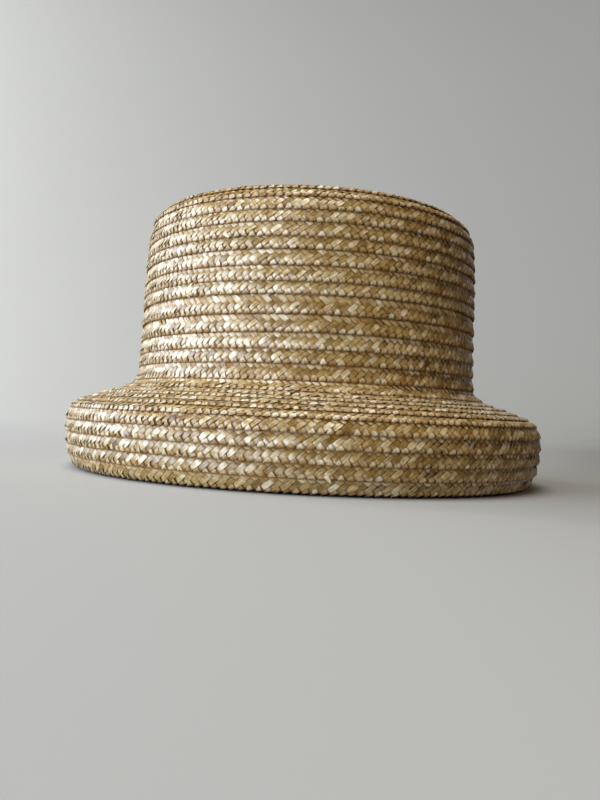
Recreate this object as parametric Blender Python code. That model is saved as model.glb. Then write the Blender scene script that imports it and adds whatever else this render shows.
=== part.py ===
# A straw hat with a tall, slightly tapered crown, a flat tip and a short brim that turns down.
# It is sewn from one narrow straw plait, wound from the middle of the tip to the brim edge.
# The front of the hat faces -Y, and the brim edge lies at height zero.

import math
from collections import namedtuple

import bmesh
import bpy
from mathutils import Vector

# The sizes below are millimetres.
MILLIMETRE = 0.001

# The head is oval, so each ring is this much longer in its half-length than in its half-width.
OVAL_EXTRA = 10.0

# Each row of plait lies over the top of the next one, and its lower edge stands out.
ROW_STEP = 0.8
WALL_THICKNESS = 2.0
EDGE_THICKNESS = 1.8

# The pieces meet as two rows do: the lower one reaches up under the upper one.
JOINT_GAP = 0.3
LAP_ROWS = 0.5
LAP_CLEARANCE_ROWS = 0.05

# The hat is divided where a milliner divides it: tip, side and brim, the brim at its shoulder too.
TIP_ROWS = 12
SIDE_ROWS = 13
BRIM_TOP_ROWS = 6
BRIM_SKIRT_ROWS = 5

FACETS = 48
SHARP_EDGE_DEGREES = 40
NORMAL_STEP_ROWS = 0.05

# The outside of the hat at the lower edge of some rows, counted from the middle of the tip.
Section = namedtuple("Section", "row half_width height")
OUTLINE = (
    Section(row=0, half_width=0.0, height=129.9),
    Section(row=6, half_width=38.0, height=129.6),
    Section(row=11, half_width=72.2, height=128.4),
    Section(row=12, half_width=78.2, height=125.9),
    Section(row=13, half_width=82.0, height=121.2),
    Section(row=14, half_width=83.3, height=115.1),
    Section(row=16, half_width=84.3, height=103.3),
    Section(row=20, half_width=85.0, height=78.6),
    Section(row=22, half_width=85.4, height=63.7),
    Section(row=24, half_width=85.8, height=50.6),
    Section(row=25, half_width=86.9, height=44.5),
    Section(row=26, half_width=92.0, height=40.3),
    Section(row=28, half_width=103.4, height=36.7),
    Section(row=30, half_width=113.8, height=32.6),
    Section(row=31, half_width=117.6, height=28.9),
    Section(row=32, half_width=119.0, height=22.9),
    Section(row=33, half_width=119.1, height=17.0),
    Section(row=34, half_width=118.4, height=11.4),
    Section(row=35, half_width=117.3, height=6.0),
    Section(row=36, half_width=113.6, height=0.0),
)

Straw = namedtuple("Straw", "name colour roughness")
TIP_STRAW = Straw("tip_plait", (0.56, 0.40, 0.19, 1.0), 0.45)
SIDE_STRAW = Straw("side_plait", (0.58, 0.42, 0.20, 1.0), 0.42)
BRIM_TOP_STRAW = Straw("brim_top_plait", (0.60, 0.43, 0.20, 1.0), 0.42)
BRIM_SKIRT_STRAW = Straw("brim_skirt_plait", (0.59, 0.42, 0.19, 1.0), 0.42)


def clear_scene():
    for thing in list(bpy.data.objects):
        bpy.data.objects.remove(thing, do_unlink=True)


def section_slope(number):
    # The outline's direction at one section, for each row passed.
    before = OUTLINE[max(number - 1, 0)]
    after = OUTLINE[min(number + 1, len(OUTLINE) - 1)]
    rows = after.row - before.row
    return (
        (after.half_width - before.half_width) / rows,
        (after.height - before.height) / rows,
    )


def outline_at(row):
    # A smooth curve through the sections, as half-width and height.
    number = 0
    while number < len(OUTLINE) - 2 and row > OUTLINE[number + 1].row:
        number += 1
    start = OUTLINE[number]
    end = OUTLINE[number + 1]
    rows = end.row - start.row
    part = (row - start.row) / rows
    start_weight = 2 * part ** 3 - 3 * part ** 2 + 1
    end_weight = 3 * part ** 2 - 2 * part ** 3
    leave_weight = (part ** 3 - 2 * part ** 2 + part) * rows
    arrive_weight = (part ** 3 - part ** 2) * rows
    leave = section_slope(number)
    arrive = section_slope(number + 1)
    half_width = (
        start_weight * start.half_width
        + end_weight * end.half_width
        + leave_weight * leave[0]
        + arrive_weight * arrive[0]
    )
    height = (
        start_weight * start.height
        + end_weight * end.height
        + leave_weight * leave[1]
        + arrive_weight * arrive[1]
    )
    return Vector((half_width, height))


def wall_at(row, depth):
    # A point that lies this deep under the outline, square to it.
    along = outline_at(row + NORMAL_STEP_ROWS) - outline_at(row - NORMAL_STEP_ROWS)
    inward = Vector((along.y, -along.x)).normalized()
    return outline_at(row) + inward * depth


def outside_rows(first_row, last_row, first_depth):
    # The saw-toothed outside: each row slopes out from under the one above to its own edge.
    points = []
    for row in range(first_row, last_row + 1):
        top_depth = first_depth if row == first_row else ROW_STEP
        points.append(wall_at(row - 1, top_depth))
        points.append(wall_at(row, 0.0))
    return points


def inside_rows(first_row, last_row):
    # The inside, from the last row back up to the first.
    return [wall_at(row, WALL_THICKNESS) for row in range(last_row, first_row - 1, -1)]


def lower_lap(row):
    # The lower edge of a piece, thinned inside to take the piece below.
    top = row - LAP_ROWS - LAP_CLEARANCE_ROWS
    return [
        wall_at(row, ROW_STEP),
        wall_at(top, ROW_STEP),
        wall_at(top, WALL_THICKNESS),
    ]


def upper_lap(row):
    # The tongue of a piece, up under the piece above, from its inside to its outside.
    return [
        wall_at(row - LAP_ROWS, WALL_THICKNESS),
        wall_at(row - LAP_ROWS, ROW_STEP + JOINT_GAP),
    ]


def straw_material(straw):
    material = bpy.data.materials.new(straw.name)
    material.use_nodes = True
    surface = material.node_tree.nodes["Principled BSDF"]
    surface.inputs["Base Color"].default_value = straw.colour
    surface.inputs["Roughness"].default_value = straw.roughness
    surface.inputs["Metallic"].default_value = 0.0
    material.diffuse_color = straw.colour
    return material


def stretch_to_oval(mesh):
    # Every ring grows by the same amount towards the front and the back.
    for vertex in mesh.verts:
        distance = math.hypot(vertex.co.x, vertex.co.y)
        vertex.co.y *= 1 + OVAL_EXTRA * MILLIMETRE / distance


def spin_section(name, points, straw, closed):
    # Turns a section once round the hat's axis and closes what is left open in the middle.
    mesh = bmesh.new()
    corners = [mesh.verts.new((0.0, -point.x * MILLIMETRE, point.y * MILLIMETRE)) for point in points]
    edges = [mesh.edges.new(pair) for pair in zip(corners, corners[1:])]
    if closed:
        edges.append(mesh.edges.new((corners[-1], corners[0])))
    bmesh.ops.spin(
        mesh,
        geom=corners + edges,
        cent=(0.0, 0.0, 0.0),
        axis=(0.0, 0.0, 1.0),
        angle=2 * math.pi,
        steps=FACETS,
        use_merge=True,
    )
    stretch_to_oval(mesh)
    bmesh.ops.holes_fill(mesh, edges=[edge for edge in mesh.edges if edge.is_boundary])
    bmesh.ops.recalc_face_normals(mesh, faces=mesh.faces)
    data = bpy.data.meshes.new(name)
    mesh.to_mesh(data)
    mesh.free()
    data.materials.append(straw_material(straw))
    data.shade_smooth()
    data.set_sharp_from_angle(angle=math.radians(SHARP_EDGE_DEGREES))
    piece = bpy.data.objects.new(name, data)
    bpy.context.scene.collection.objects.link(piece)
    return piece


def build_tip():
    # The flat top. Its first round closes over the middle.
    outside = outside_rows(1, TIP_ROWS, ROW_STEP)[1:]
    inside = inside_rows(1, TIP_ROWS - 1)
    spin_section("crown_tip", outside + lower_lap(TIP_ROWS) + inside, TIP_STRAW, closed=False)


def resting_edge(row):
    # The flat lower edge that the hat rests on.
    outer = outline_at(row)
    return [Vector((outer.x - EDGE_THICKNESS, outer.y))]


def build_wall(name, rows_above, rows, straw, rests):
    # A ring of rows that hangs under the rows above it, and rests or carries the next piece.
    last_row = rows_above + rows
    outside = outside_rows(rows_above + 1, last_row, ROW_STEP + JOINT_GAP)
    lower_end = resting_edge(last_row) if rests else lower_lap(last_row)
    inside = inside_rows(rows_above, last_row - 1)
    section = outside + lower_end + inside + upper_lap(rows_above)
    spin_section(name, section, straw, closed=True)


clear_scene()
build_tip()
rows_sewn = TIP_ROWS
build_wall("crown_side", rows_sewn, SIDE_ROWS, SIDE_STRAW, rests=False)
rows_sewn += SIDE_ROWS
build_wall("brim_top", rows_sewn, BRIM_TOP_ROWS, BRIM_TOP_STRAW, rests=False)
rows_sewn += BRIM_TOP_ROWS
build_wall("brim_skirt", rows_sewn, BRIM_SKIRT_ROWS, BRIM_SKIRT_STRAW, rests=True)
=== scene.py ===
import math

import bpy
import numpy as np
from mathutils import Matrix, Vector


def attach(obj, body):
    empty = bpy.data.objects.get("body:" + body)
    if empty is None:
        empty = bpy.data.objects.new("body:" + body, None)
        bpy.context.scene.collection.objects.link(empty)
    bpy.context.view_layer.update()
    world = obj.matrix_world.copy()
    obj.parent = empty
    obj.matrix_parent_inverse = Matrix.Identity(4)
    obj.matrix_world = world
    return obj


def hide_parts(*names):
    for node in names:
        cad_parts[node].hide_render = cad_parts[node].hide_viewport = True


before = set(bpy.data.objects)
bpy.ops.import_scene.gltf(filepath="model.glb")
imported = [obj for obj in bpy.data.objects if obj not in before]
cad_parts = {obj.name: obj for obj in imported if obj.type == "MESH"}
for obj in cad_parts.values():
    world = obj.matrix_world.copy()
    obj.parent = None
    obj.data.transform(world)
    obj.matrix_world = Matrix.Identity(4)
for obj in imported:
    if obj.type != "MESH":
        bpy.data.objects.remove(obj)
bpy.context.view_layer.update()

millimetre = 0.001


# small helpers

def deselectAll():
    if bpy.context.mode != "OBJECT":
        bpy.ops.object.mode_set(mode="OBJECT")
    bpy.ops.object.select_all(action="DESELECT")


def makeActive(thing):
    deselectAll()
    thing.select_set(True)
    bpy.context.view_layer.objects.active = thing


def linearColour(hexColour):
    # sRGB hex to the linear values that a shader takes
    parts = [int(hexColour[i:i + 2], 16) / 255 for i in (1, 3, 5)]
    linear = [c / 12.92 if c <= 0.04045 else ((c + 0.055) / 1.055) ** 2.4 for c in parts]
    return (*linear, 1.0)


def addNode(tree, kind, settings=None, inputs=None, stops=None):
    # one node, with its settings, its values or links, and a ramp's stops
    node = tree.nodes.new(kind)
    for name, value in (settings or {}).items():
        setattr(node, name, value)
    for name, value in (inputs or {}).items():
        if isinstance(value, bpy.types.NodeSocket):
            tree.links.new(value, node.inputs[name])
        else:
            node.inputs[name].default_value = value
    for number, (place, colour) in enumerate(stops or []):
        ramp = node.color_ramp
        stop = ramp.elements[number] if number < 2 else ramp.elements.new(place)
        stop.position = place
        stop.color = linearColour(colour)
    return node


def newMaterial(name):
    material = bpy.data.materials.new(name)
    material.use_nodes = True
    material.node_tree.nodes.clear()
    return material, material.node_tree


# the outside of the hat, from the middle of the tip to the brim edge, as in the solids

hatShape = {
    "ovalExtra": 10.0,      # mm that a ring is longer than wide, from the axis
    "rows": 36,             # rows of plait, counted at the front
    "headLineRow": 25,      # where the crown meets the brim
    "finePerRow": 60,       # points of the smooth curve in each row
    "outline": (            # row, half width, height, all at the row's lower edge, in mm
        (0, 0.0, 129.9), (6, 38.0, 129.6), (11, 72.2, 128.4), (12, 78.2, 125.9),
        (13, 82.0, 121.2), (14, 83.3, 115.1), (16, 84.3, 103.3), (20, 85.0, 78.6),
        (22, 85.4, 63.7), (24, 85.8, 50.6), (25, 86.9, 44.5), (26, 92.0, 40.3),
        (28, 103.4, 36.7), (30, 113.8, 32.6), (31, 117.6, 28.9), (32, 119.0, 22.9),
        (33, 119.1, 17.0), (34, 118.4, 11.4), (35, 117.3, 6.0), (36, 113.6, 0.0),
    ),
}


def smoothOutline(shape):
    # a fine smooth curve through the outline's points, with its length and its inward direction
    rows, halfWidths, heights = np.array(shape["outline"]).T
    fine = np.linspace(0, shape["rows"], shape["rows"] * shape["finePerRow"] + 1)
    curves = []
    for values in (halfWidths, heights):
        slopes = np.empty(len(rows))
        slopes[1:-1] = (values[2:] - values[:-2]) / (rows[2:] - rows[:-2])
        slopes[0] = (values[1] - values[0]) / (rows[1] - rows[0])
        slopes[-1] = (values[-1] - values[-2]) / (rows[-1] - rows[-2])
        start = np.clip(np.searchsorted(rows, fine, side="right") - 1, 0, len(rows) - 2)
        span = rows[start + 1] - rows[start]
        part = (fine - rows[start]) / span
        curves.append(
            (2 * part ** 3 - 3 * part ** 2 + 1) * values[start]
            + (3 * part ** 2 - 2 * part ** 3) * values[start + 1]
            + (part ** 3 - 2 * part ** 2 + part) * span * slopes[start]
            + (part ** 3 - part ** 2) * span * slopes[start + 1]
        )
    width, height = curves
    steps = np.hypot(np.diff(width), np.diff(height))
    length = np.concatenate([[0.0], np.cumsum(steps)])
    alongWidth = np.gradient(width, length)
    alongHeight = np.gradient(height, length)
    size = np.hypot(alongWidth, alongHeight)
    return {
        "row": fine, "length": length, "width": width, "height": height,
        "inWidth": alongHeight / size, "inHeight": -alongWidth / size,
    }


startRow = hatShape["rows"] + 0.5       # at the back of the brim edge, half a turn from the front
outline = smoothOutline(hatShape)
outlineLength = outline["length"][-1]
print("outline:", round(outlineLength, 1), "mm from the middle of the tip to the brim edge")


# how the plait is wound: it starts at the back of the brim edge and ends in the middle of the tip

winding = {
    "turns": 36.25,         # turns from the brim edge to the middle of the tip
    "stepsPerTurn": 720,
    "taperDegrees": 30,     # stretch over which the plait's end slips under the row above
    "taperRows": 1.15,
    "edgeDepth": 0.35,      # mm from the outline to the middle of the plait at its lower edge
    "curlDepth": 0.4,       # mm that the lower edge curls inwards
    "curlMm": 1.6,          # width of the part that curls
    "curlPast": 0.3,        # share of that by which the curl goes on past the edge
    "rowStep": 0.23,        # mm that the plait goes inwards for each mm across it
    "slope": (25.0, 26.5, 29.5, 30.5),  # rows over which the brim's slope begins and ends
    "slopeStep": 0.84,      # share of the step and of the curl that is left on the slope
    "hiddenStep": 0.08,     # the same under the row above
    "shownMm": 6.4,         # width of the plait that shows
    "layer": 0.9,           # mm that one plait is thick
    "middleLap": 0.3,       # mm by which the innermost round passes the middle of the tip
    "leastRoom": 0.2,       # mm of width that the plait keeps there
    "plateauTurns": 0.32,   # how long a row keeps its own stray before it changes to the next
    "strays": (             # row, and how far its lower edge hangs too low at the front, in rows
        (14, 0.0), (15, -0.11), (16, -0.06), (17, -0.17), (18, -0.06), (19, 0.02),
        (20, -0.13), (21, -0.03), (22, 0.0), (23, 0.03), (24, -0.03), (25, 0.02),
        (31, -0.04), (32, -0.06), (33, -0.07), (34, -0.05), (35, 0.0), (36, -0.05),
    ),
}


def smoothStep(part):
    part = np.clip(part, 0.0, 1.0)
    return part * part * (3 - 2 * part)


def strayTable():
    # each row keeps its own stray over the front, and changes at the back
    turns, rows = [], []
    for row, stray in reversed(winding["strays"]):
        middle = startRow - row
        turns += [middle - winding["plateauTurns"], middle + winding["plateauTurns"]]
        rows += [stray, stray]
    return np.array(turns), np.array(rows)


strayTurns, strayRows = strayTable()


def turnAngle(turns):
    # zero at the front, growing towards the right, and half a turn away at the back
    return 2 * math.pi * (turns - 0.5)


def rowsAtEdge(angle):
    # how many rows the hat has where the brim edge lies at this angle
    around = np.mod(angle + math.pi, 2 * math.pi)
    taper = math.radians(winding["taperDegrees"])
    ended = smoothStep(1 - around / taper)
    return startRow - around / (2 * math.pi) - ended


def lowerEdge(turns):
    # the plait's lower edge, as a length along the outline, how far it is tucked in, and how far
    # it lies on the brim's slope
    taper = winding["taperDegrees"] / 360
    tucked = smoothStep(1 - turns / taper)
    row = startRow - turns - tucked * winding["taperRows"]
    headLine = hatShape["headLineRow"]
    stretch = (hatShape["rows"] - headLine) / (rowsAtEdge(turnAngle(turns)) - headLine)
    row = np.where(row > headLine, headLine + (row - headLine) * stretch, row)
    row = row + np.interp(turns, strayTurns, strayRows)
    row = np.clip(row, 0.0, hatShape["rows"])
    onSlope = np.interp(row, winding["slope"], (0.0, 1.0, 1.0, 0.0))
    return np.interp(row, outline["row"], outline["length"]), tucked, onSlope


def leftOnSlope(share, onSlope):
    # one everywhere, and this share on the brim's slope
    return 1 - (1 - share) * onSlope


def placeOnHat(turns, across, lift):
    # from a place on the flat plait, in mm, to a place on the hat, in metres
    edge, tucked, onSlope = lowerEdge(turns)
    flatter = leftOnSlope(winding["slopeStep"], onSlope)
    room = np.maximum(edge + winding["middleLap"], winding["leastRoom"])
    squeeze = np.minimum(1.0, room / plait["width"])
    along = edge - across * squeeze
    curl = 1 - np.clip(across / winding["curlMm"], -winding["curlPast"], 1.0)
    shown = np.minimum(across, winding["shownMm"])
    depth = winding["edgeDepth"] + tucked * winding["layer"] - lift
    step = winding["rowStep"] * flatter * shown + winding["hiddenStep"] * (across - shown)
    depth = depth + step * squeeze
    depth = depth + winding["curlDepth"] * flatter * curl * curl
    width, height, inWidth, inHeight = (
        np.interp(along, outline["length"], outline[name])
        for name in ("width", "height", "inWidth", "inHeight")
    )
    # the innermost round passes the middle, and the last row hangs past the outline's end
    width = width + np.minimum(along, 0.0)
    beyond = np.maximum(along - outlineLength, 0.0)
    width = width + inWidth * depth - beyond * outline["inHeight"][-1]
    height = height + inHeight * depth + beyond * outline["inWidth"][-1]
    angle = turnAngle(turns)
    extra = hatShape["ovalExtra"]
    return millimetre * np.column_stack([
        width * np.sin(angle),
        -(width + extra) * np.cos(angle),
        height,
    ])


# the flat plait: seven split straws, each going to and fro across it and folded over at its edges

plait = {
    "ends": 7,
    "pitch": 3.52,          # mm along the plait from one straw to the next
    "width": 10.5,          # mm from edge to edge
    "edgeSpace": -0.2,      # mm from the row's line to the edge
    "skinHeight": 0.29,     # mm that a straw's skin crowns above its edges
    "pithHeight": 0.28,     # the same on its inner side
    "lift": 0.37,           # mm that a straw rises or sinks as it crosses the others
    "joinWithin": 0.001,    # between one zigzag's end and the start of the next, while straight
    "foldTilt": 0.3,        # mm that one corner of a fold hangs below the middle
    "freeFoldTilt": 0.35,   # mm more where no row lies under it, along the brim's edge
    "foldShift": 2.3,       # mm that a fold lies back towards the last crossing
    "foldIn": 0.3,          # crossings by which it lies in from the edge
    "floats": (1.4, 3.6),   # crossings passed where a straw goes over and under again
}

# one leg of a straw from edge to edge: crossings passed, lift (1 is over, -1 is under), breadth,
# how far it has turned into the fold, and how far the side towards the fold's point stands up in mm
legRungs = (
    (0.0, 0.0, 1.0, 1.0, 0.0), (0.6, -0.9, 0.95, 0.3, 0.0), (1.25, -0.3, 1.0, 0.0, 0.25),
    (1.75, 0.6, 1.05, 0.0, 0.1), (2.25, 1.05, 1.1, 0.0, 0.0), (3.05, 1.05, 1.1, 0.0, 0.0),
    (3.5, 0.3, 1.0, 0.0, 0.0), (3.9, -0.8, 0.95, 0.0, 0.0), (4.95, -0.8, 0.95, 0.0, 0.0),
    (5.4, 0.2, 1.0, 0.0, 0.1), (6.2, 0.75, 1.05, 0.4, 0.25),
)
stretchStarts = (2, 6, 8)   # rungs of a leg where it goes over, under and over again
legStretches = len(stretchStarts) + 1
zigzag = plait["ends"] * plait["pitch"]
strawWidth = plait["pitch"] / math.sqrt(2)
legLength = plait["ends"] * strawWidth
pithShift = 10.0            # mm added across the straw in the UV map, to tell its inner side
smoothDegrees = 60          # a sharper edge than this stays sharp


def rungTable():
    # where each rung of one whole zigzag lies on the flat plait, and which way its outer skin faces
    ends = plait["ends"]
    half = plait["pitch"] / 2
    squash = plait["width"] / (ends * half)
    table = []
    for leg, direction in ((0, 1), (1, -1)):
        for passed, lift, breadth, turned, sideLift in legRungs:
            level = passed if direction > 0 else ends - passed
            lower = level < ends / 2
            # towards a fold the straw turns straight across, and its side turns along the edge
            shift = turned * plait["foldShift"] * (-1 if lower else 1)
            level = level + turned * plait["foldIn"] * (1 if lower else -1)
            leaning = -direction * half / 2 * squash
            table.append({
                "along": (leg * ends + passed) * half + shift,
                "across": plait["edgeSpace"] + level * half * squash,
                "lift": lift * plait["lift"],
                "sideLift": sideLift if lower else -sideLift,
                "sideAlong": (half / 2 + turned * half / 2) * breadth,
                "sideAcross": (1 - turned) * leaning * breadth + turned * plait["foldTilt"],
                "passed": passed,
                "turned": turned,
                "faceSide": direction,
                "faceAcross": float(turned == 1.0),
                "faceLift": 0.0 if turned == 1.0 else float(direction),
                "length": leg * legLength + passed * strawWidth,
            })
    return table


rungs = rungTable()
cornerNames = ("near", "skin", "far", "pith")
cornerSides = np.array((1.0, 0.0, -1.0, 0.0))       # of those four, towards one side or the other
cornerFaces = np.array((0.0, 1.0, 0.0, -1.0))       # towards the skin or towards the pith


def makeTube(name, stations):
    # a straight tube with a corner at each side of the straw, pulled out one unit at a time
    deselectAll()
    bpy.ops.mesh.primitive_circle_add(
        vertices=len(cornerNames), radius=1.0, fill_type="NGON", rotation=(0, math.pi / 2, 0)
    )
    tube = bpy.context.active_object
    tube.name = name
    tube.data.name = name
    bpy.ops.object.transform_apply(location=True, rotation=True, scale=True)
    bpy.ops.object.mode_set(mode="EDIT")
    for _ in range(stations):
        bpy.ops.mesh.extrude_region_move(TRANSFORM_OT_translate={"value": (1, 0, 0)})
    bpy.ops.mesh.select_all(action="SELECT")
    bpy.ops.mesh.normals_make_consistent(inside=False)
    bpy.ops.mesh.select_all(action="DESELECT")
    bpy.ops.object.mode_set(mode="OBJECT")
    return tube


def makeStraw(name):
    # the straw of one zigzag, with the faces across it taken off
    straw = makeTube(name, len(rungs))
    mesh = straw.data
    for face in mesh.polygons:
        places = {round(mesh.vertices[v].co.x) for v in face.vertices}
        face.select = len(places) == 1
    bpy.ops.object.mode_set(mode="EDIT")
    bpy.ops.mesh.select_mode(type="FACE")
    bpy.ops.mesh.delete(type="ONLY_FACE")
    bpy.ops.mesh.select_mode(type="VERT")
    bpy.ops.object.mode_set(mode="OBJECT")
    return straw


def nameCorners(straw):
    # each vertex keeps its rung and its corner, and each face its side of the straw
    mesh = straw.data
    rungOf = [round(v.co.x) for v in mesh.vertices]
    cornerOf = []
    for vertex in mesh.vertices:
        if abs(vertex.co.y) > 0.5:
            cornerOf.append("near" if vertex.co.y > 0 else "far")
        else:
            cornerOf.append("skin" if vertex.co.z > 0 else "pith")
    mesh.attributes.new("rung", "INT", "POINT").data.foreach_set("value", rungOf)
    cornerNumbers = [cornerNames.index(name) for name in cornerOf]
    mesh.attributes.new("corner", "INT", "POINT").data.foreach_set("value", cornerNumbers)
    fibres = mesh.uv_layers.new(name="fibres")
    acrossOf = {"near": -strawWidth / 2, "skin": 0.0, "pith": 0.0, "far": strawWidth / 2}
    lengths = [rung["length"] for rung in rungs] + [2 * legLength]
    for face in mesh.polygons:
        inner = any(cornerOf[v] == "pith" for v in face.vertices)
        for loop in face.loop_indices:
            vertex = mesh.loops[loop].vertex_index
            across = acrossOf[cornerOf[vertex]] + (pithShift if inner else 0.0)
            fibres.data[loop].uv = (lengths[rungOf[vertex]], across)
    return straw


def arrayOf(thing, offset, count, merge):
    # copies in a row, joined into one mesh, and at the ends too if they merge
    makeActive(thing)
    copies = thing.modifiers.new("copies", "ARRAY")
    copies.use_relative_offset = False
    copies.use_constant_offset = True
    copies.constant_offset_displace = (offset, 0, 0)
    copies.count = count
    copies.use_merge_vertices = merge
    copies.merge_threshold = plait["joinWithin"]
    bpy.ops.object.modifier_apply(modifier=copies.name)


def flatPlait(name, zigzags):
    # seven straws, each as long as the piece needs and closed at its ends, still straight tubes
    straw = nameCorners(makeStraw(name))
    arrayOf(straw, len(rungs), zigzags, merge=True)
    makeActive(straw)
    bpy.ops.object.mode_set(mode="EDIT")
    bpy.ops.mesh.select_all(action="SELECT")
    bpy.ops.mesh.fill_holes(sides=0)
    bpy.ops.object.mode_set(mode="OBJECT")
    arrayOf(straw, 0.0, plait["ends"], merge=False)
    return straw


# how evenly the hands have worked, and where a row is shaded

hands = {
    "seed": 11,
    "rollMm": 0.22,         # how far a straw's crown wanders to one side
    "liftMm": 0.045,        # uneven height of each crossing
    "tiltMm": 0.16,         # how far one side of a straw stands higher where it lies over
    "side": 0.08,           # uneven width of each straw, as a share
    "wobbleMm": 0.16,       # how far a row strays from its line
    "wobbleTurns": 0.11,    # turns from one stray to the next
    "pace": 0.08,           # how much tighter or looser than usual the plait is, over each stretch
    "paceMm": 300,          # length of such a stretch
    "paceBeyond": 1.05,     # the stretches go on a little past the plait's end
    "coveredMm": 0.5,       # width of the shade at the top of a row, under the row above
    "hiddenMm": (1.0, 2.0),  # further up, where that shade starts to fade and ends
    "underMm": 0.4,         # width of the shade at a row's lower edge
    "dipsBelow": 0.5,       # share of the lift under which a straw is shaded where it dips
    "slopeUnder": 0.35,     # share of that which is left on the brim's slope, seen end on
    "slopeDipped": 0.5,     # the same for the shade where a straw dips under
}


def windOn(piece, firstLength, zigzags, random):
    # the straws take their zigzag, then the plait is laid round the hat
    mesh = piece.data
    count = len(mesh.vertices)
    rung = np.empty(count, dtype=np.int32)
    corner = np.empty(count, dtype=np.int32)
    place = np.empty(count * 3, dtype=np.float32)
    mesh.attributes["rung"].data.foreach_get("value", rung)
    mesh.attributes["corner"].data.foreach_get("value", corner)
    mesh.vertices.foreach_get("co", place)
    station = np.rint(place.reshape(-1, 3)[:, 0]).astype(int)
    straw = np.repeat(np.arange(plait["ends"]), count // plait["ends"])
    whole, within = np.divmod(station, len(rungs))
    table = {key: np.array([r[key] for r in rungs]) for key in rungs[0]}
    shape = (plait["ends"], zigzags + 1, len(rungs))
    roll = random.normal(0, hands["rollMm"], shape)[straw, whole, within]
    rise = random.normal(0, hands["liftMm"], shape)[straw, whole, within]
    swell = random.normal(0, hands["side"], shape)[straw, whole, within]
    legFloats = len(plait["floats"]) + 1
    floats = np.digitize(table["passed"], plait["floats"])
    floats = floats + legFloats * (table["faceSide"] < 0)
    tilt = random.normal(0, hands["tiltMm"], (plait["ends"], zigzags + 1, 2 * legFloats))
    tilt = tilt[straw, whole, floats[within]]
    sideways = cornerSides[corner]
    facing = cornerFaces[corner]
    thick = np.where(facing > 0, plait["skinHeight"], plait["pithHeight"])
    onCrown = np.where(facing != 0, roll, 0.0)
    turned = sideways * (1 + swell * np.abs(sideways)) + onCrown / strawWidth
    along = firstLength + straw * plait["pitch"] + whole * zigzag + table["along"][within]
    along = path["pace"](along + turned * table["sideAlong"][within])
    across = table["across"][within] + turned * table["sideAcross"][within]
    across = across + facing * table["faceAcross"][within] * thick
    lift = table["lift"][within] + rise + facing * table["faceLift"][within] * thick
    lift = lift + sideways * (tilt + table["sideLift"][within])
    turns = np.interp(along, path["length"], path["turns"])
    freeEdge = turned * table["turned"][within] * (turns < 1)
    across = across + path["stray"](turns) + freeEdge * plait["freeFoldTilt"]
    edge, _, onSlope = lowerEdge(turns)
    shown = edge - lowerEdge(turns + 1)[0] + path["stray"](turns + 1)
    # painted shade: dipped darkens a straw where it dips under another
    dipped = hands["dipsBelow"] - table["lift"][within] / plait["lift"]
    dipped = dipped * leftOnSlope(hands["slopeDipped"], onSlope)
    # painted shade: shaded darkens the top of each row under the row above, and each row's lower
    # edge
    covered = (across - shown + hands["coveredMm"]) / hands["coveredMm"]
    fadeFrom, fadeTo = hands["hiddenMm"]
    fade = np.clip((shown + fadeTo - across) / (fadeTo - fadeFrom), 0, 1)
    covered = np.clip(covered, 0, 1) * fade
    under = (1 - across / hands["underMm"]) * leftOnSlope(hands["slopeUnder"], onSlope)
    for name, depth in (("dipped", dipped), ("shaded", np.maximum(covered, under))):
        values = np.clip(depth, 0, 1).astype(np.float32)
        mesh.attributes.new(name, "FLOAT", "POINT").data.foreach_set("value", values)
    laid = placeOnHat(turns, across, lift)
    mesh.vertices.foreach_set("co", laid.astype(np.float32).ravel())
    mesh.update()


def walkPlait():
    # the length of the plait's lower edge, turn by turn, with its strays and its pace
    turns = np.linspace(0, winding["turns"], int(winding["turns"] * winding["stepsPerTurn"]) + 1)
    places = placeOnHat(turns, np.zeros(len(turns)), np.zeros(len(turns))) / millimetre
    steps = np.linalg.norm(np.diff(places, axis=0), axis=1)
    length = np.concatenate([[0.0], np.cumsum(steps)])
    random = np.random.default_rng(hands["seed"])
    knots = np.arange(0, winding["turns"] + 1, hands["wobbleTurns"])
    strays = random.normal(0, hands["wobbleMm"], len(knots))
    marks = np.arange(0, length[-1] * hands["paceBeyond"], hands["paceMm"])
    paces = random.uniform(-hands["pace"], hands["pace"], len(marks))
    drift = np.concatenate([[0.0], np.cumsum(paces[:-1]) * hands["paceMm"]])
    drift = drift - np.interp(marks, [0, marks[-1]], [drift[0], drift[-1]])
    return {
        "turns": turns,
        "length": length,
        "stray": lambda t: np.interp(t, knots, strays),
        "pace": lambda u: u + np.interp(u, marks, drift),
    }


path = walkPlait()
print("plait:", round(path["length"][-1] / 1000, 2), "m long")


# colour of each straw: each of the seven is spliced anew every few hand-widths

strawTones = {
    "seed": 23,
    "spliceMm": (140, 420),     # shortest and longest straw
    "bright": (0.63, 0.84),
    "golden": (0.4, 0.61),
    "brightEnds": (0, 1, 2),    # straws of the seven that are paler than the rest
    "brightChance": 0.82,
    "unevenness": 0.06,         # between one crossing and the next
    "stainChance": 0.01,        # of a crossing that has gone brown
    "stain": -0.32,
    "slope": 0.1,               # painted light: how much paler the brim's slope is made, where the light falls on it
    "grains": 97,               # different patterns of streaks
    "grainStep": 7,             # from one straw to the next
}


def toneAlong(random, end, lengthMm):
    # splice points and the tone between them, for one of the seven straws
    places = [0.0]
    while places[-1] < lengthMm:
        places.append(places[-1] + random.uniform(*strawTones["spliceMm"]))
    pale = end in strawTones["brightEnds"]
    tones = []
    for _ in places:
        chance = random.random() < strawTones["brightChance"]
        bounds = strawTones["bright"] if pale == chance else strawTones["golden"]
        tones.append(random.uniform(*bounds))
    return np.array(places), np.array(tones)


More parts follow.
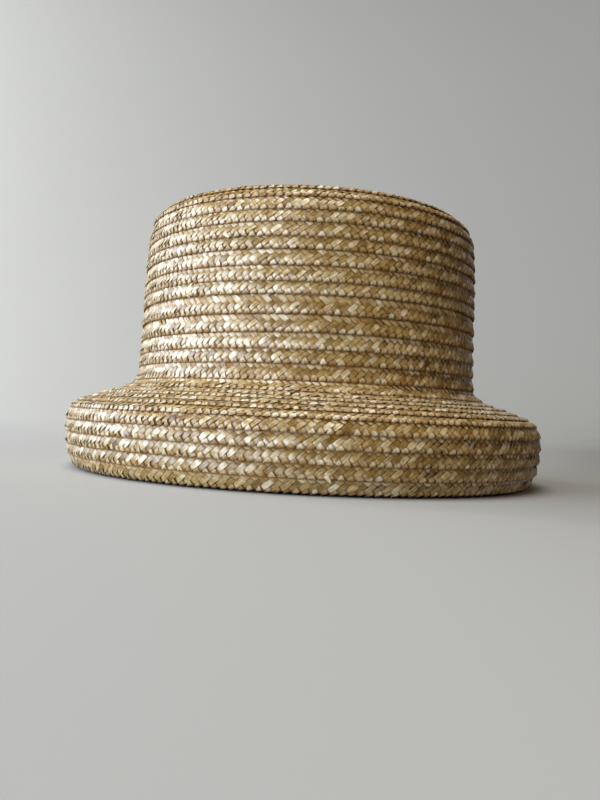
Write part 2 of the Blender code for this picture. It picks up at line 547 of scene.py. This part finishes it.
def stretchOfFaces(mesh):
    # which stretch of the zigzag each face belongs to: fold, over, under, over, on either leg
    rung = np.empty(len(mesh.vertices), dtype=np.int32)
    mesh.attributes["rung"].data.foreach_get("value", rung)
    corners = np.empty(len(mesh.loops), dtype=np.int32)
    mesh.loops.foreach_get("vertex_index", corners)
    rungOfCorner = rung[corners].reshape(-1, len(cornerNames))
    lowest, highest = rungOfCorner.min(axis=1), rungOfCorner.max(axis=1)
    # the first ring of a zigzag is the last one of the zigzag before
    segment = np.where(highest - lowest > 1, 0, lowest) % len(rungs)
    leg, within = np.divmod(segment, len(legRungs))
    return legStretches * leg + np.digitize(within, stretchStarts)


def colourStraws(piece, firstLength, zigzags):
    # tone and grain of every face
    mesh = piece.data
    stretches = stretchOfFaces(mesh).reshape(plait["ends"], -1)
    faces = len(mesh.polygons)
    facesPerEnd = faces // plait["ends"]
    facesPerZigzag = (facesPerEnd - 2) // zigzags       # apart from the two end caps
    tone = np.empty((plait["ends"], facesPerEnd))
    grain = np.empty((plait["ends"], facesPerEnd))
    for end in range(plait["ends"]):
        random = np.random.default_rng((strawTones["seed"], end))
        places, tones = toneAlong(random, end, path["length"][-1] + zigzag)
        random = np.random.default_rng((strawTones["seed"], end, int(firstLength)))
        facesAlong = np.arange(facesPerEnd) / facesPerZigzag * zigzag
        start = firstLength + end * plait["pitch"] + np.minimum(facesAlong, zigzags * zigzag)
        piecesOfStraw = np.searchsorted(places, start, side="right") - 1
        onSlope = lowerEdge(np.interp(start, path["length"], path["turns"]))[2]
        whole = np.minimum(np.arange(facesPerEnd) // facesPerZigzag, zigzags - 1)
        uneven = random.normal(0, strawTones["unevenness"], (zigzags, 2 * legStretches))
        stained = random.random((zigzags, 2 * legStretches)) < strawTones["stainChance"]
        uneven = (uneven + stained * strawTones["stain"])[whole, stretches[end]]
        # painted light: the brim's slope is made paler where the light falls on it
        paler = strawTones["slope"] * onSlope
        tone[end] = np.clip(tones[piecesOfStraw] + uneven + paler, 0, 1)
        grain[end] = (piecesOfStraw * strawTones["grainStep"] + end) % strawTones["grains"]
    mesh.attributes.new("tone", "FLOAT", "FACE").data.foreach_set("value", tone.ravel())
    mesh.attributes.new("grain", "FLOAT", "FACE").data.foreach_set("value", grain.ravel())
    for name in ("rung", "corner"):
        mesh.attributes.remove(mesh.attributes[name])


# split wheat straw, flattened: a waxy golden skin on one side and a dull cream pith on the other

strawFinish = {
    "skin": ((0.0, "#4c3008"), (0.35, "#7a5b20"), (0.65, "#a48a51"), (1.0, "#d2c6a7")),
    "pith": ((0.0, "#66400f"), (0.35, "#957138"), (0.7, "#bfa576"), (1.0, "#e2d7bf")),
    "streakMm": 0.3,            # real fibres are a tenth of this, and wouldn't show
    "streakLengthMm": 9.0,
    "streakNoise": (0.3, 0.7),
    "streakTones": (-0.34, 0.24),   # what the streaks take from the tone and add to it
    "streakDepth": 0.09,        # mm
    "spotsPerMm": 0.42,
    "spotNoise": (0.25, 0.75),
    "spotTones": (-0.22, 0.22),
    "fleck": "#5b3f1c",
    "fleckNoise": (0.66, 0.8),  # from here on a spot turns into a brown fleck
    "fleckShade": 0.6,
    "edge": "#452a02",          # the cut edges are browner, and this brown is also painted shade in the gaps between straws
    "edgeMm": 0.31,
    "edgeShade": 0.9,
    "dippedShade": 0.9,         # painted shade: how far that brown is laid where a straw dips under another
    "rowLine": "#6e4a08",       # painted shade along the line between rows: at each row's lower edge and under the row above
    "rowLineShade": 0.9,
    "crownPower": 3.0,          # how much flatter a straw is in the middle than at its edges
    "crownDepth": 0.1,          # mm that it lies lower 1 mm from its middle
    "glossTones": (0.4, 0.8),   # tone of the dullest and of the glossiest straw
    "skinRoughness": (0.4, 0.2),
    "pithRoughness": 0.48,
    "brownAndShadeRoughness": 0.85,      # of the brown edges and the painted shade
    "waxTones": (0.45, 0.75),
    "waxed": (0.5, 1.0),        # how much coat lies on the dullest and on the glossiest straw
    "pithWaxed": 0.7,           # share of that on the inner side
    "coatRoughness": 0.28,
    "ior": 1.5,
    "specular": 0.3,
    "coatIor": 1.85,
}


def splitStraw():
    finish = strawFinish
    material, tree = newMaterial("split_wheat_straw")
    fibres = addNode(tree, "ShaderNodeUVMap", {"uv_map": "fibres"})
    tone, grain, dipped, shaded = (
        addNode(tree, "ShaderNodeAttribute", {"attribute_name": name})
        for name in ("tone", "grain", "dipped", "shaded")
    )
    apart = addNode(tree, "ShaderNodeSeparateXYZ", None, {"Vector": fibres.outputs["UV"]})
    inner = addNode(
        tree, "ShaderNodeMath", {"operation": "GREATER_THAN"},
        {0: apart.outputs["Y"], 1: pithShift / 2},
    )
    # distance from the middle line of the straw, on either side
    innerShift = addNode(
        tree, "ShaderNodeMath", {"operation": "MULTIPLY"}, {0: inner.outputs[0], 1: pithShift}
    )
    across = addNode(
        tree, "ShaderNodeMath", {"operation": "SUBTRACT"},
        {0: apart.outputs["Y"], 1: innerShift.outputs[0]},
    )
    aside = addNode(tree, "ShaderNodeMath", {"operation": "ABSOLUTE"}, {0: across.outputs[0]})
    lengthways = addNode(
        tree, "ShaderNodeMath", {"operation": "DIVIDE"},
        {0: apart.outputs["X"], 1: finish["streakLengthMm"]},
    )
    crossways = addNode(
        tree, "ShaderNodeMath", {"operation": "DIVIDE"},
        {0: apart.outputs["Y"], 1: finish["streakMm"]},
    )
    streakPlace = addNode(
        tree, "ShaderNodeCombineXYZ", None,
        {"X": lengthways.outputs[0], "Y": crossways.outputs[0], "Z": grain.outputs["Fac"]},
    )
    streaks = addNode(
        tree, "ShaderNodeTexNoise", None,
        {"Vector": streakPlace.outputs[0], "Scale": 1.0, "Detail": 2.0, "Roughness": 0.6},
    )
    spotPlace = addNode(
        tree, "ShaderNodeCombineXYZ", None,
        {"X": apart.outputs["X"], "Y": apart.outputs["Y"], "Z": grain.outputs["Fac"]},
    )
    spots = addNode(
        tree, "ShaderNodeTexNoise", None,
        {"Vector": spotPlace.outputs[0], "Scale": finish["spotsPerMm"], "Detail": 3.0,
         "Roughness": 0.7},
    )
    streakTone = addNode(
        tree, "ShaderNodeMapRange", None,
        {"Value": streaks.outputs["Fac"],
         "From Min": finish["streakNoise"][0], "From Max": finish["streakNoise"][1],
         "To Min": finish["streakTones"][0], "To Max": finish["streakTones"][1]},
    )
    spotTone = addNode(
        tree, "ShaderNodeMapRange", None,
        {"Value": spots.outputs["Fac"],
         "From Min": finish["spotNoise"][0], "From Max": finish["spotNoise"][1],
         "To Min": finish["spotTones"][0], "To Max": finish["spotTones"][1]},
    )
    toneSpread = addNode(
        tree, "ShaderNodeMath", {"operation": "ADD"},
        {0: streakTone.outputs[0], 1: spotTone.outputs[0]},
    )
    toneHere = addNode(
        tree, "ShaderNodeMath", {"operation": "ADD", "use_clamp": True},
        {0: tone.outputs["Fac"], 1: toneSpread.outputs[0]},
    )
    skin = addNode(tree, "ShaderNodeValToRGB", None, {"Fac": toneHere.outputs[0]}, finish["skin"])
    pith = addNode(tree, "ShaderNodeValToRGB", None, {"Fac": toneHere.outputs[0]}, finish["pith"])
    bothSides = addNode(
        tree, "ShaderNodeMix", {"data_type": "RGBA"},
        {"Factor": inner.outputs[0], "A": skin.outputs["Color"], "B": pith.outputs["Color"]},
    )
    fleckPart = addNode(
        tree, "ShaderNodeMapRange", None,
        {"Value": spots.outputs["Fac"],
         "From Min": finish["fleckNoise"][0], "From Max": finish["fleckNoise"][1],
         "To Min": 0.0, "To Max": finish["fleckShade"]},
    )
    flecked = addNode(
        tree, "ShaderNodeMix", {"data_type": "RGBA"},
        {"Factor": fleckPart.outputs[0], "A": bothSides.outputs["Result"],
         "B": linearColour(finish["fleck"])},
    )
    # the cut edges are browner, and the same brown is painted shade in the gaps between straws and
    # where a straw dips under another
    edgePart = addNode(
        tree, "ShaderNodeMapRange", None,
        {"Value": aside.outputs[0], "From Min": strawWidth / 2 - finish["edgeMm"],
         "From Max": strawWidth / 2, "To Min": 0.0, "To Max": finish["edgeShade"]},
    )
    dippedPart = addNode(
        tree, "ShaderNodeMath", {"operation": "MULTIPLY"},
        {0: dipped.outputs["Fac"], 1: finish["dippedShade"]},
    )
    brownAndShadePart = addNode(
        tree, "ShaderNodeMath", {"operation": "MAXIMUM"},
        {0: edgePart.outputs[0], 1: dippedPart.outputs[0]},
    )
    brownedAndShaded = addNode(
        tree, "ShaderNodeMix", {"data_type": "RGBA"},
        {"Factor": brownAndShadePart.outputs[0], "A": flecked.outputs["Result"],
         "B": linearColour(finish["edge"])},
    )
    # painted shade along the line between rows
    rowShadePart = addNode(
        tree, "ShaderNodeMath", {"operation": "MULTIPLY"},
        {0: shaded.outputs["Fac"], 1: finish["rowLineShade"]},
    )
    rowShaded = addNode(
        tree, "ShaderNodeMix", {"data_type": "RGBA"},
        {"Factor": rowShadePart.outputs[0], "A": brownedAndShaded.outputs["Result"],
         "B": linearColour(finish["rowLine"])},
    )
    gloss = addNode(
        tree, "ShaderNodeMapRange", None,
        {"Value": tone.outputs["Fac"],
         "From Min": finish["glossTones"][0], "From Max": finish["glossTones"][1],
         "To Min": finish["skinRoughness"][0], "To Max": finish["skinRoughness"][1]},
    )
    shine = addNode(
        tree, "ShaderNodeMix", {"data_type": "FLOAT"},
        {"Factor": inner.outputs[0], "A": gloss.outputs[0], "B": finish["pithRoughness"]},
    )
    dulled = addNode(
        tree, "ShaderNodeMix", {"data_type": "FLOAT"},
        {"Factor": brownAndShadePart.outputs[0], "A": shine.outputs["Result"],
         "B": finish["brownAndShadeRoughness"]},
    )
    # the straw is crowned across, more towards its edges
    crown = addNode(
        tree, "ShaderNodeMath", {"operation": "POWER"},
        {0: aside.outputs[0], 1: finish["crownPower"]},
    )
    crownDown = addNode(
        tree, "ShaderNodeMath", {"operation": "MULTIPLY"},
        {0: crown.outputs[0], 1: -finish["crownDepth"]},
    )
    streakHeight = addNode(
        tree, "ShaderNodeMath", {"operation": "MULTIPLY_ADD"},
        {0: streaks.outputs["Fac"], 1: finish["streakDepth"], 2: crownDown.outputs[0]},
    )
    ridges = addNode(
        tree, "ShaderNodeBump", None,
        {"Strength": 1.0, "Distance": millimetre, "Height": streakHeight.outputs[0]},
    )
    skinWax = addNode(
        tree, "ShaderNodeMapRange", None,
        {"Value": tone.outputs["Fac"],
         "From Min": finish["waxTones"][0], "From Max": finish["waxTones"][1],
         "To Min": finish["waxed"][0], "To Max": finish["waxed"][1]},
    )
    innerWax = addNode(
        tree, "ShaderNodeMath", {"operation": "MULTIPLY"},
        {0: skinWax.outputs[0], 1: finish["pithWaxed"]},
    )
    wax = addNode(
        tree, "ShaderNodeMix", {"data_type": "FLOAT"},
        {"Factor": inner.outputs[0], "A": skinWax.outputs[0], "B": innerWax.outputs[0]},
    )
    # no coat on the brown edges and on the painted shade
    waxed = addNode(
        tree, "ShaderNodeMix", {"data_type": "FLOAT"},
        {"Factor": brownAndShadePart.outputs[0], "A": wax.outputs["Result"], "B": 0.0},
    )
    surface = addNode(
        tree, "ShaderNodeBsdfPrincipled", None,
        {"Base Color": rowShaded.outputs["Result"], "Roughness": dulled.outputs["Result"],
         "IOR": finish["ior"], "Specular IOR Level": finish["specular"],
         "Coat Weight": waxed.outputs["Result"], "Coat IOR": finish["coatIor"],
         "Coat Roughness": finish["coatRoughness"],
         "Normal": ridges.outputs["Normal"], "Coat Normal": ridges.outputs["Normal"]},
    )
    addNode(tree, "ShaderNodeOutputMaterial", None, {"Surface": surface.outputs["BSDF"]})
    return material


strawMaterial = splitStraw()


# each piece of the plait: the solid it stands for, and its first and last row at the front

plaitPieces = {
    "plait_skirt_lower": {
        "node": "brim_skirt", "slot": "brim_skirt_plait", "rows": (33.5, 36.5),
    },
    "plait_skirt_upper": {"node": "brim_skirt", "slot": "brim_skirt_plait", "rows": (31, 33.5)},
    "plait_brim_shoulder": {"node": "brim_top", "slot": "brim_top_plait", "rows": (28, 31)},
    "plait_brim_slope": {"node": "brim_top", "slot": "brim_top_plait", "rows": (25, 28)},
    "plait_side_lower": {"node": "crown_side", "slot": "side_plait", "rows": (18.5, 25)},
    "plait_side_upper": {"node": "crown_side", "slot": "side_plait", "rows": (12.5, 18.5)},
    "plait_tip": {"node": "crown_tip", "slot": "tip_plait", "rows": (0.25, 12.5)},
}


def stretchFibres(piece, zigzags):
    # the fibres' length in the UV map grows from zigzag to zigzag
    mesh = piece.data
    uv = np.empty(len(mesh.loops) * 2, dtype=np.float32)
    mesh.uv_layers["fibres"].data.foreach_get("uv", uv)
    uv = uv.reshape(plait["ends"], -1, 2)
    # the two faces that close a straw come after all its zigzags
    capCorners = 2 * len(cornerNames)
    perZigzag = (uv.shape[1] - capCorners) // zigzags
    whole = np.minimum(np.arange(uv.shape[1]) // perZigzag, zigzags)
    uv[:, :, 0] += whole * 2 * legLength
    mesh.uv_layers["fibres"].data.foreach_set("uv", uv.ravel())


def makePlaitPiece(name, plan, nextStart):
    # a whole number of zigzags, from where the piece below ended
    lastTurn = startRow - plan["rows"][0]
    lastLength = np.interp(lastTurn, path["turns"], path["length"])
    zigzags = max(1, int((lastLength - nextStart) / zigzag))
    piece = flatPlait(name, zigzags)
    random = np.random.default_rng((hands["seed"], len(name), int(lastTurn)))
    stretchFibres(piece, zigzags)
    windOn(piece, nextStart, zigzags, random)
    colourStraws(piece, nextStart, zigzags)
    piece.data.materials.clear()
    piece.data.materials.append(strawMaterial)
    makeActive(piece)
    bpy.ops.object.shade_smooth_by_angle(angle=math.radians(smoothDegrees))
    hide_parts(plan["node"])
    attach(piece, "root")
    print(name, zigzags, "zigzags,", len(piece.data.polygons) * 2, "triangles")
    return nextStart + zigzags * zigzag


nextStart = 0.0
for pieceName, plan in plaitPieces.items():
    nextStart = makePlaitPiece(pieceName, plan, nextStart)


# loose ends of straws: where two straws are spliced, the short end often stands out

looseEnds = {
    "seed": 31,
    "count": 90,
    "stations": 5,              # faces along each end
    "spacing": 10.0,            # between the copies while they are straight
    "rows": (13.2, 35.8),
    "across": (1.2, 5.6),       # mm from the row's lower edge to the end's root
    "heading": (25, 55),        # degrees from the row's line, to either side
    "length": (2.4, 4.6),
    "width": (1.3, 2.1),
    "taper": 0.8,               # share of the width that is gone at the tip
    "rise": (0.1, 0.5),         # mm that the tip stands out
    "bodyLift": 0.5,            # mm over the middle of the plait
    "rootSink": 0.5,            # mm that the root lies lower
    "thickness": 0.12,
    "tone": (0.4, 0.75),
    "fibresAcross": 0.6,        # less than the real width, so the edges are less brown
    "grains": 89,               # different patterns of streaks
    "front": (                  # row, degrees from the front, across, heading, length, width, tone
        (21, 20.0, 4.6, -28, 5.0, 1.7, 0.12), (16, -12.5, 5.0, 24, 7.0, 1.9, 0.45),
        (24, -36.0, 3.6, 62, 6.0, 2.0, 0.9), (16, -27.5, 3.0, -40, 5.0, 1.8, 0.85),
        (18, 33.0, 3.8, 35, 5.0, 1.6, 0.2), (33, -38.0, 3.5, -22, 6.5, 2.2, 0.1),
        (31, 16.0, 2.8, 50, 5.5, 1.8, 0.8), (32, 39.0, 3.4, -30, 6.0, 1.7, 0.3),
        (20, -40.0, 3.2, 44, 5.0, 1.6, 0.75), (35, 4.0, 2.6, -52, 4.0, 1.7, 0.9),
    ),
}


def looseTable():
    # where each loose end lies, and its size
    random = np.random.default_rng(looseEnds["seed"])
    rows = []
    for row, degrees, across, heading, length, width, tone in looseEnds["front"]:
        turns = startRow - row + degrees / 360
        rows.append((turns, across, heading, length, width, looseEnds["rise"][1], tone))
    while len(rows) < looseEnds["count"]:
        row = random.uniform(*looseEnds["rows"])
        rows.append((
            startRow - row,
            random.uniform(*looseEnds["across"]),
            random.uniform(*looseEnds["heading"]) * random.choice((-1, 1)),
            random.uniform(*looseEnds["length"]),
            random.uniform(*looseEnds["width"]),
            random.uniform(*looseEnds["rise"]),
            random.uniform(*looseEnds["tone"]),
        ))
    return np.array(rows).T


def makeLooseEnds():
    # straight tubes in a row, tapered and laid on the hat
    turns, across, heading, length, width, rise, tone = looseTable()
    stations = looseEnds["stations"]
    ends = makeTube("loose_ends", stations)
    arrayOf(ends, looseEnds["spacing"], looseEnds["count"], merge=False)
    mesh = ends.data
    place = np.empty(len(mesh.vertices) * 3, dtype=np.float32)
    mesh.vertices.foreach_get("co", place)
    place = place.reshape(-1, 3)
    copy = np.repeat(np.arange(looseEnds["count"]), len(place) // looseEnds["count"])
    part = np.clip((place[:, 0] - copy * looseEnds["spacing"]) / stations, 0, 1)
    taper = 1 - looseEnds["taper"] * part ** 3
    angle = np.radians(heading[copy])
    forward = part * length[copy]
    aside = place[:, 1] * width[copy] / 2 * taper
    along = np.interp(turns[copy], path["turns"], path["length"])
    along = along + np.cos(angle) * forward - np.sin(angle) * aside
    lift = looseEnds["bodyLift"] + rise[copy] * part ** 2
    lift = lift - looseEnds["rootSink"] * (1 - part) ** 4 + place[:, 2] * looseEnds["thickness"]
    laid = placeOnHat(
        np.interp(along, path["length"], path["turns"]),
        across[copy] + np.sin(angle) * forward + np.cos(angle) * aside,
        lift,
    )
    fibres = mesh.uv_layers.new(name="fibres")
    corners = np.empty(len(mesh.loops), dtype=np.int32)
    mesh.loops.foreach_get("vertex_index", corners)
    fibresAcross = aside[corners] * looseEnds["fibresAcross"]
    uv = np.column_stack([(part * length[copy])[corners], fibresAcross])
    fibres.data.foreach_set("uv", uv.astype(np.float32).ravel())
    mesh.vertices.foreach_set("co", laid.astype(np.float32).ravel())
    perCopy = len(mesh.polygons) // looseEnds["count"]
    copyOfFace = np.arange(len(mesh.polygons)) // perCopy
    grain = copyOfFace % looseEnds["grains"]
    for name, values in (("tone", tone[copyOfFace]), ("grain", grain)):
        attribute = mesh.attributes.new(name, "FLOAT", "FACE")
        attribute.data.foreach_set("value", values.astype(np.float32))
    for name in ("dipped", "shaded"):
        mesh.attributes.new(name, "FLOAT", "POINT")
    mesh.update()
    mesh.materials.append(strawMaterial)
    makeActive(ends)
    bpy.ops.object.shade_smooth_by_angle(angle=math.radians(smoothDegrees))
    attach(ends, "root")
    print("loose_ends", looseEnds["count"], "ends,", len(mesh.polygons) * 2, "triangles")


makeLooseEnds()


# stage: a pale floor that turns up into a wall, with painted shade for a darker room at the sides
# and the front, and on the floor to the right of the hat

stage = {
    "floorRadius": 1.3,
    "wallRadius": 2.6,
    "wallHeight": 2.6,
    "corners": 96,
    "bendSteps": 10,
    "smoothDegrees": 40,
    "roughness": 0.9,
    "colour": "#9f9f9d",
    "roomShadeColour": "#464440",
    "roomStart": (0.3, -1.0),   # metres to the back, less sideShare times those to the side
    "sideShare": 1.2,
    "paleMiddle": -0.4,         # the painted shade leaves the wall pale further on the left, towards the windows
    "roomRise": (0.0, 0.4),     # height over which painted shade turns the wall dark, so the floor stays pale
    "roomRight": (0.0, 0.4),    # where painted shade turns the floor dark too, to the right of the hat
}


def makeStage():
    # a round floor whose edge bends up into the wall
    deselectAll()
    bpy.ops.mesh.primitive_circle_add(
        vertices=stage["corners"], radius=stage["floorRadius"], fill_type="NGON"
    )
    floor = bpy.context.active_object
    floor.name = "stage_floor"
    bpy.ops.object.mode_set(mode="EDIT")
    bend = stage["wallRadius"] - stage["floorRadius"]
    steps = stage["bendSteps"]
    bpy.ops.mesh.select_mode(type="EDGE")
    bpy.ops.mesh.select_all(action="SELECT")
    for step in range(steps):
        before = math.radians(90) * step / steps
        after = math.radians(90) * (step + 1) / steps
        wider = (stage["floorRadius"] + bend * math.sin(after)) / (
            stage["floorRadius"] + bend * math.sin(before)
        )
        rise = bend * (math.cos(before) - math.cos(after))
        bpy.ops.mesh.extrude_edges_move(TRANSFORM_OT_translate={"value": (0, 0, rise)})
        bpy.ops.transform.resize(value=(wider, wider, 1), center_override=(0, 0, 0))
    bpy.ops.mesh.extrude_edges_move(
        TRANSFORM_OT_translate={"value": (0, 0, stage["wallHeight"] - bend)}
    )
    bpy.ops.object.mode_set(mode="OBJECT")
    material, tree = newMaterial("matt_paint")
    place = addNode(tree, "ShaderNodeTexCoord")
    apart = addNode(tree, "ShaderNodeSeparateXYZ", None, {"Vector": place.outputs["Object"]})
    fromMiddle = addNode(
        tree, "ShaderNodeMath", {"operation": "SUBTRACT"},
        {0: apart.outputs["X"], 1: stage["paleMiddle"]},
    )
    aside = addNode(tree, "ShaderNodeMath", {"operation": "ABSOLUTE"}, {0: fromMiddle.outputs[0]})
    towardsRoom = addNode(
        tree, "ShaderNodeMath", {"operation": "MULTIPLY_ADD"},
        {0: aside.outputs[0], 1: -stage["sideShare"], 2: apart.outputs["Y"]},
    )
    roomPart, risen, rightPart = (
        addNode(
            tree, "ShaderNodeMapRange", {"interpolation_type": "SMOOTHSTEP"},
            {"Value": value, "From Min": stage[name][0], "From Max": stage[name][1]},
        )
        for value, name in (
            (towardsRoom.outputs[0], "roomStart"), (apart.outputs["Z"], "roomRise"),
            (apart.outputs["X"], "roomRight"),
        )
    )
    darkPlace = addNode(
        tree, "ShaderNodeMath", {"operation": "MAXIMUM"},
        {0: risen.outputs[0], 1: rightPart.outputs[0]},
    )
    darkPart = addNode(
        tree, "ShaderNodeMath", {"operation": "MULTIPLY"},
        {0: roomPart.outputs[0], 1: darkPlace.outputs[0]},
    )
    # painted shade: the wall and floor turn dark away from the windows, at the sides, the front and
    # to the right of the hat
    paint = addNode(
        tree, "ShaderNodeMix", {"data_type": "RGBA"},
        {"Factor": darkPart.outputs[0], "A": linearColour(stage["colour"]),
         "B": linearColour(stage["roomShadeColour"])},
    )
    surface = addNode(
        tree, "ShaderNodeBsdfPrincipled", None,
        {"Base Color": paint.outputs["Result"], "Roughness": stage["roughness"]},
    )
    addNode(tree, "ShaderNodeOutputMaterial", None, {"Surface": surface.outputs["BSDF"]})
    floor.data.materials.append(material)
    bpy.ops.object.shade_smooth_by_angle(angle=math.radians(stage["smoothDegrees"]))


makeStage()
print("stage set")


# light: three windows at the left, a ceiling, a weak warm lamp at the right and one on the wall

lamps = {
    "window": {
        "place": (-1.24, -0.84, 0.5), "aim": (0, 0, 0.07), "size": (1.25, 0.85), "watts": 28,
        "colour": "#e6f1ff",
    },
    "low_window": {
        "place": (-0.55, -1.3, 0.22), "aim": (0, 0, 0.04), "size": (0.7, 0.4), "watts": 6.8,
        "colour": "#eef5ff",
    },
    "side_window": {
        "place": (-1.35, 0.3, 0.5), "aim": (0, 0, 0.07), "size": (0.9, 0.7), "watts": 13,
        "colour": "#e2edff",
    },
    "ceiling": {
        "place": (-0.4, -0.27, 2.55), "aim": (0, 0, 0), "size": (1.6, 1.6), "watts": 54,
        "colour": "#fffaf0",
    },
    "warm_fill": {
        "place": (1.15, -0.8, 1.0), "aim": (0, 0, 0.07), "size": (0.8, 0.8), "watts": 2.6,
        "colour": "#ffc98a",
    },
    "wall_wash": {
        "place": (-1.5, 0.9, 1.3), "aim": (-0.5, 2.5, 0.8), "size": (0.8, 0.8), "watts": 44,
        "colour": "#fbfeff",
    },
}
roomLight = {"colour": "#f0dcbc", "strength": 0.05}


def makeLight():
    for name, lamp in lamps.items():
        data = bpy.data.lights.new(name, "AREA")
        data.shape = "RECTANGLE"
        data.size, data.size_y = lamp["size"]
        data.energy = lamp["watts"]
        data.color = linearColour(lamp["colour"])[:3]
        light = bpy.data.objects.new(name, data)
        light.location = lamp["place"]
        towards = Vector(lamp["aim"]) - Vector(lamp["place"])
        light.rotation_euler = towards.to_track_quat("-Z", "Y").to_euler()
        bpy.context.scene.collection.objects.link(light)
    world = bpy.data.worlds.new("room")
    bpy.context.scene.world = world
    world.use_nodes = True
    world.node_tree.nodes.clear()
    glow = addNode(
        world.node_tree, "ShaderNodeBackground", None,
        {"Color": linearColour(roomLight["colour"]), "Strength": roomLight["strength"]},
    )
    addNode(world.node_tree, "ShaderNodeOutputWorld", None, {"Surface": glow.outputs[0]})


makeLight()
print("light set")


# camera: just above the floor, looking straight at the front, with the photo's slight lean

view = {
    "place": (-0.0023, -0.432, 0.0305),
    "focalPixels": 826,
    "longSidePixels": 800,
    "sensorMm": 36.0,
    "nearest": 0.01,        # metres from the camera to the first thing that shows
    "upDegrees": 0.95,
    "leanDegrees": 2.9,
}


def makeCamera():
    data = bpy.data.cameras.new("camera")
    data.sensor_width = view["sensorMm"]
    data.lens = view["focalPixels"] / view["longSidePixels"] * view["sensorMm"]
    data.clip_start = view["nearest"]
    camera = bpy.data.objects.new("camera", data)
    tilt = Matrix.Rotation(math.radians(90 + view["upDegrees"]), 4, "X")
    lean = Matrix.Rotation(math.radians(view["leanDegrees"]), 4, "Z")
    camera.matrix_world = Matrix.Translation(view["place"]) @ tilt @ lean
    bpy.context.scene.collection.objects.link(camera)
    bpy.context.scene.camera = camera


makeCamera()
bpy.context.scene.view_settings.view_transform = "Standard"
